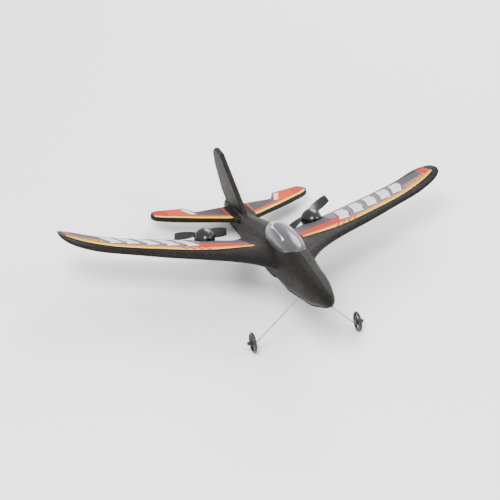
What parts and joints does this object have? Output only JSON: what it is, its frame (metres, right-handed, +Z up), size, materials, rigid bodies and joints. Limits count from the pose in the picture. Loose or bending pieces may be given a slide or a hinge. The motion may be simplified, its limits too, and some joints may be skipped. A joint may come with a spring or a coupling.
{
  "type": "rc foam aeroplane",
  "caption": "Small foam radio-control aeroplane with pusher propellers in wing pods, a canopy, a T-slot fin and tailplane, and a wire undercarriage.",
  "frame": {"origin": "on the surface that it stands on, under the middle of its bounding box", "axes": "+X along the span, -Y towards the nose, +Z up; the aeroplane sits nose up on two wheels and its tail"},
  "size_m": [0.381, 0.3354, 0.0885],
  "materials": {
    "foam": "expanded bead foam, printed film on the upper wing and tailplane faces",
    "canopy_shell": "thin vacuum-formed shell, smoke grey",
    "pod_plastic": "gloss black moulding",
    "propeller_plastic": "black nylon moulding",
    "wheel_plastic": "black moulding",
    "spring_steel": "drawn wire",
    "motor_steel": "plated can",
    "magnet": "sintered magnet",
    "copper_coil": "enamelled copper winding",
    "lead_cover": "thin flexible insulation",
    "battery_foil": "soft silver pouch",
    "board": "green circuit board",
    "chips": "black encapsulated parts",
    "belly_plastic": "fine textured black moulding",
    "screw_steel": "small cross-head screws",
    "socket_plastic": "black moulding",
    "lamp_lens": "red status lamp"
  },
  "bodies": {
    "airframe": {"fuselage_left_shell": "foam", "fuselage_right_shell": "foam", "wing_left": "foam", "wing_right": "foam", "tailplane": "foam", "fin": "foam", "canopy": "canopy_shell", "undercarriage_wire": "spring_steel", "gear_clamp": "belly_plastic", "clamp_screws": "screw_steel", "belly_plate": "belly_plastic", "belly_screws": "screw_steel", "switch_body": "socket_plastic", "charge_socket": "socket_plastic", "status_lamp": "lamp_lens", "battery": "battery_foil", "battery_leads": "lead_cover", "control_board": "board", "board_chips": "chips", "pod_upper_left": "pod_plastic", "pod_lower_left": "pod_plastic", "motor_can_left": "motor_steel", "motor_cap_left": "pod_plastic", "motor_magnet_left": "magnet", "motor_leads_left": "lead_cover", "wheel_cap_left": "wheel_plastic", "pod_upper_right": "pod_plastic", "pod_lower_right": "pod_plastic", "motor_can_right": "motor_steel", "motor_cap_right": "pod_plastic", "motor_magnet_right": "magnet", "motor_leads_right": "lead_cover", "wheel_cap_right": "wheel_plastic"},
    "left_propeller": {"propeller_left": "propeller_plastic", "motor_shaft_left": "motor_steel", "motor_coil_left": "copper_coil"},
    "left_wheel": {"wheel_left": "wheel_plastic"},
    "right_propeller": {"propeller_right": "propeller_plastic", "motor_shaft_right": "motor_steel", "motor_coil_right": "copper_coil"},
    "right_wheel": {"wheel_right": "wheel_plastic"},
    "power_switch": {"switch_slider": "socket_plastic"}
  },
  "joints": [
    {"name": "left_propeller_spin", "type": "hinge", "parent": "airframe", "child": "left_propeller", "pos_m": [0.0539, 0.04224, 0.03711], "axis": [0, 0.9691, -0.2466], "continuous": true},
    {"name": "left_wheel_spin", "type": "hinge", "parent": "airframe", "child": "left_wheel", "pos_m": [0.0504, -0.10595, 0.0095], "axis": [1, 0, 0], "continuous": true},
    {"name": "right_propeller_spin", "type": "hinge", "parent": "airframe", "child": "right_propeller", "pos_m": [-0.0539, 0.04224, 0.03711], "axis": [0, 0.9691, -0.2466], "continuous": true},
    {"name": "right_wheel_spin", "type": "hinge", "parent": "airframe", "child": "right_wheel", "pos_m": [-0.0504, -0.10595, 0.0095], "axis": [1, 0, 0], "continuous": true},
    {"name": "power_switch_slide", "type": "slide", "parent": "airframe", "child": "power_switch", "axis": [0, 0.9691, -0.2466], "range_m": [0, 0.0025]}
  ]
}
